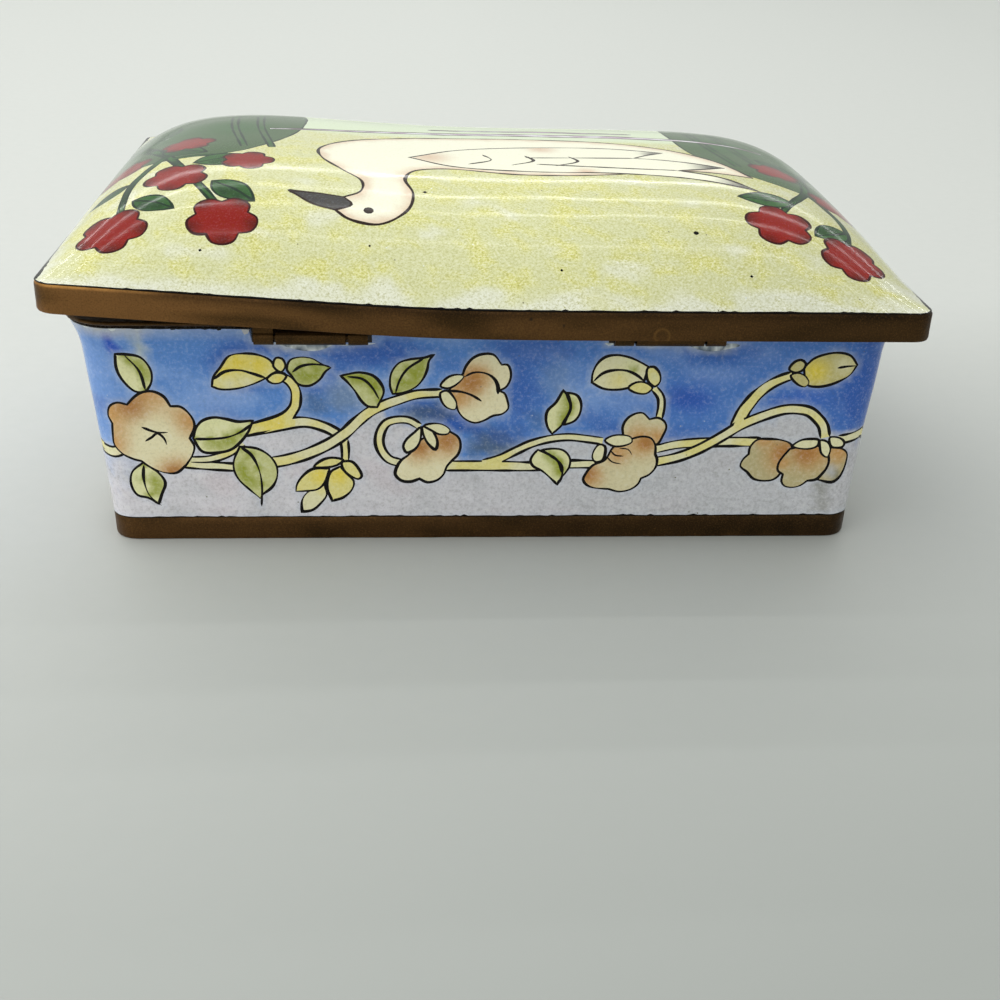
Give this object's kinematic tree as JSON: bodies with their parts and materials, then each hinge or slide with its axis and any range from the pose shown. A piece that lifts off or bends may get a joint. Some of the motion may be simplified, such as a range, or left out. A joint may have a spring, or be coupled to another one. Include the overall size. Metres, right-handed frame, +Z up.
{
  "type": "painted enamel hinged box",
  "caption": "Small rectangular painted enamel box on a brass foot band, with tapered walls and a domed hinged lid in a brass rim that overhangs the tray.",
  "frame": {"origin": "centre of the foot, on the surface the box stands on", "axes": "+X along the length, +Z up, the hinge side faces -Y and the lid opens from +Y"},
  "size_m": [0.102, 0.077, 0.0434],
  "materials": {
    "wall_enamel": "glossy painted enamel, blue over pale lilac",
    "lid_enamel": "glossy painted enamel, cream and yellow",
    "aged_brass": "matte, aged brown"
  },
  "bodies": {
    "tray": {"base_body": "wall_enamel", "base_foot_band": "aged_brass", "base_top_rim": "aged_brass", "hinge_left_base_leaf": "aged_brass", "hinge_left_pin": "aged_brass", "hinge_right_base_leaf": "aged_brass", "hinge_right_pin": "aged_brass"},
    "lid": {"lid_panel": "lid_enamel", "lid_rim": "aged_brass", "hinge_left_lid_leaf": "aged_brass", "hinge_right_lid_leaf": "aged_brass"}
  },
  "joints": [
    {"name": "lid_hinge", "type": "hinge", "parent": "tray", "child": "lid", "pos_m": [0, -0.0359, 0.02795], "axis": [1, 0, 0], "range_deg": [0, 105]}
  ]
}
